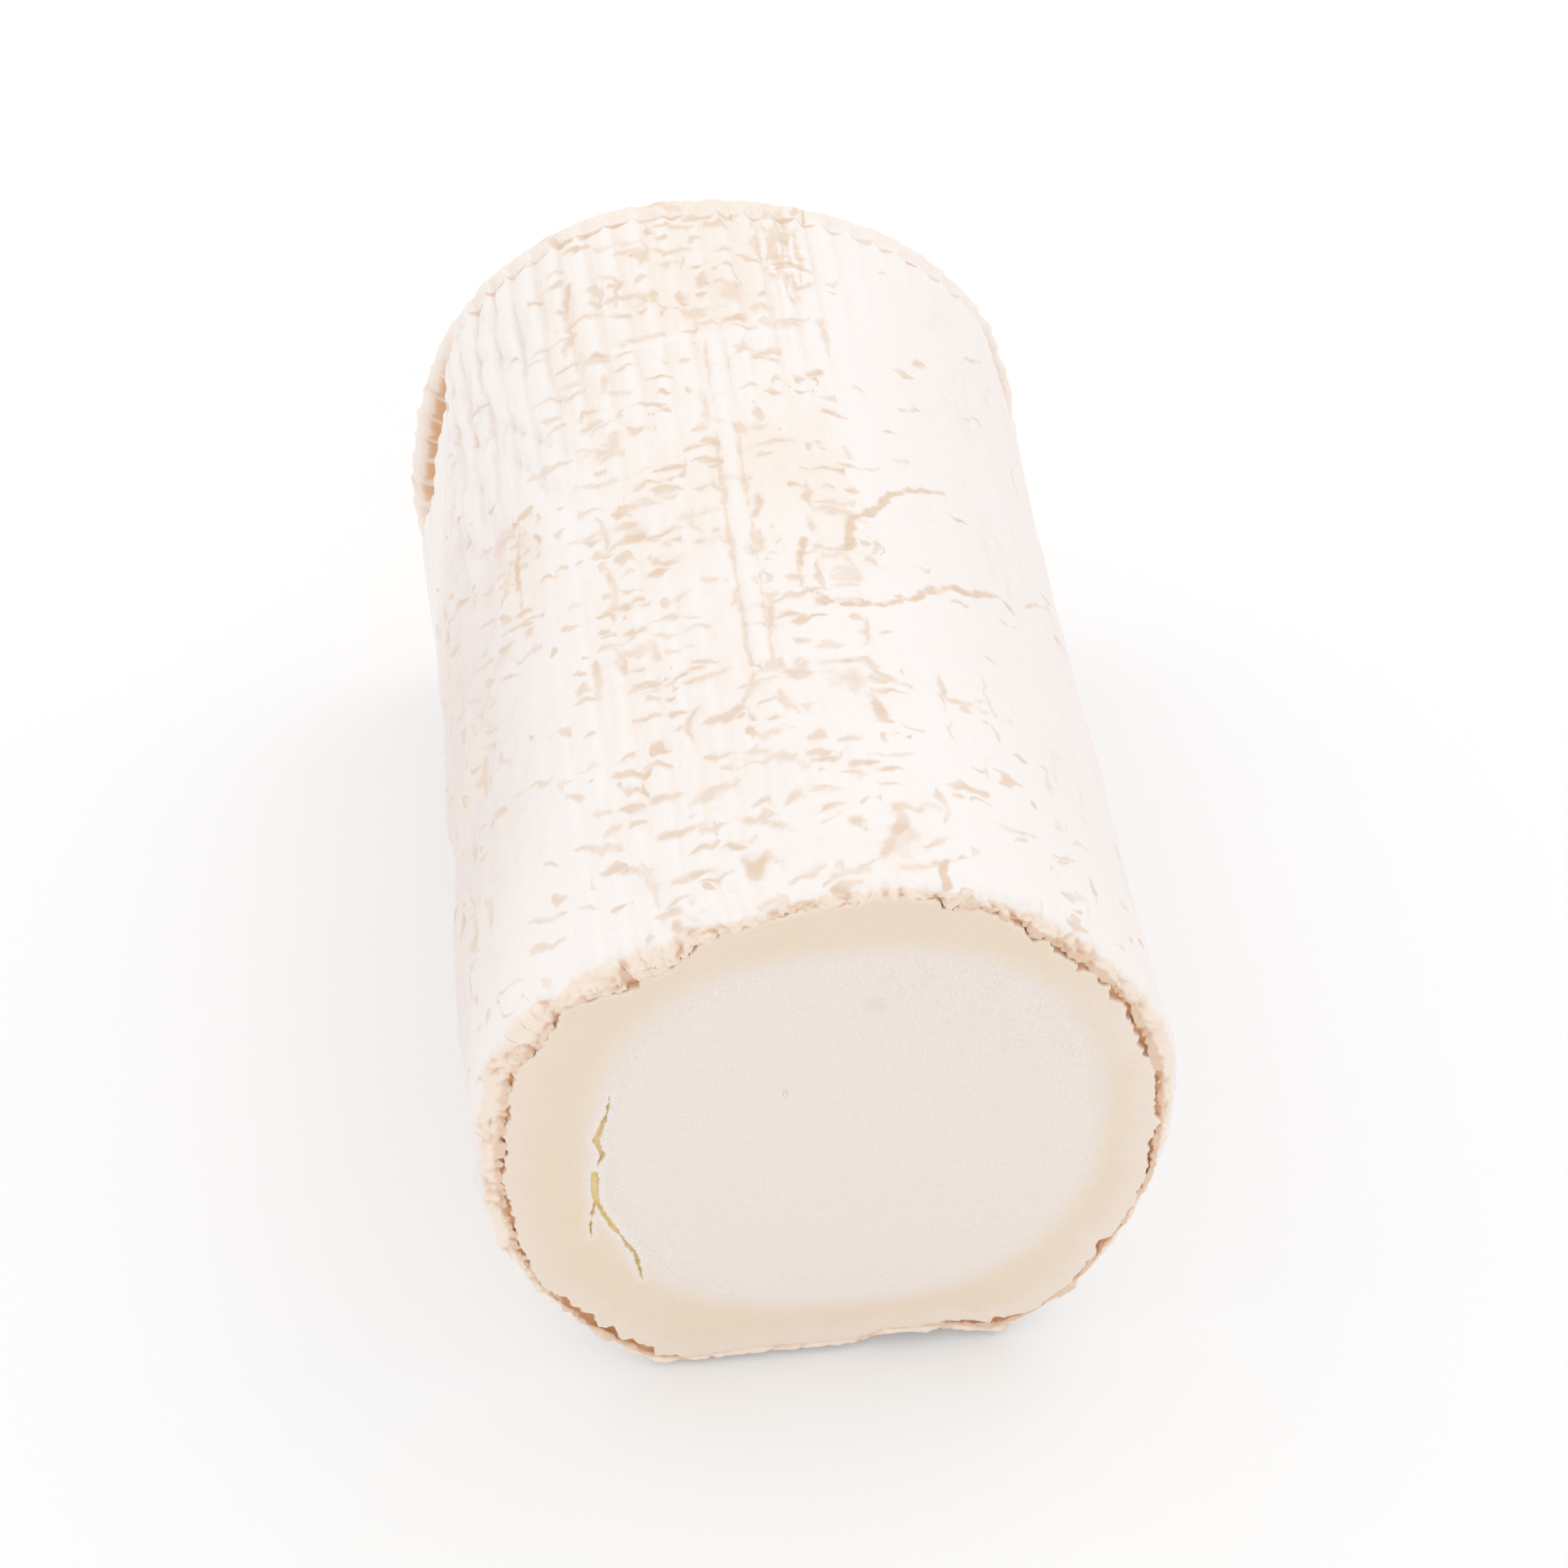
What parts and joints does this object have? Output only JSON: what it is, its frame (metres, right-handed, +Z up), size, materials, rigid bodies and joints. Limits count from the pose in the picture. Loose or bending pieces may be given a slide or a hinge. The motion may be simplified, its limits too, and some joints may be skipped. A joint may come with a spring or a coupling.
{
  "type": "goat cheese log",
  "caption": "Ripened cheese log with a ribbed, mould-grown rind, cut square across at one end and lying on its flattened side.",
  "frame": {"origin": "on the table under the middle of the log's bounding box", "axes": "+Z up, +Y along the log from the cut face to the rounded far end, +X to the right when facing the cut face"},
  "size_m": [0.0914, 0.1456, 0.0846],
  "materials": {
    "rind": "dry, matte, mould-grown cheese rind, white to cream with tan wrinkles; the cut face is chalky white paste inside a yellowish cream line"
  },
  "bodies": {
    "root": {"cheese_log": "rind"}
  },
  "joints": []
}
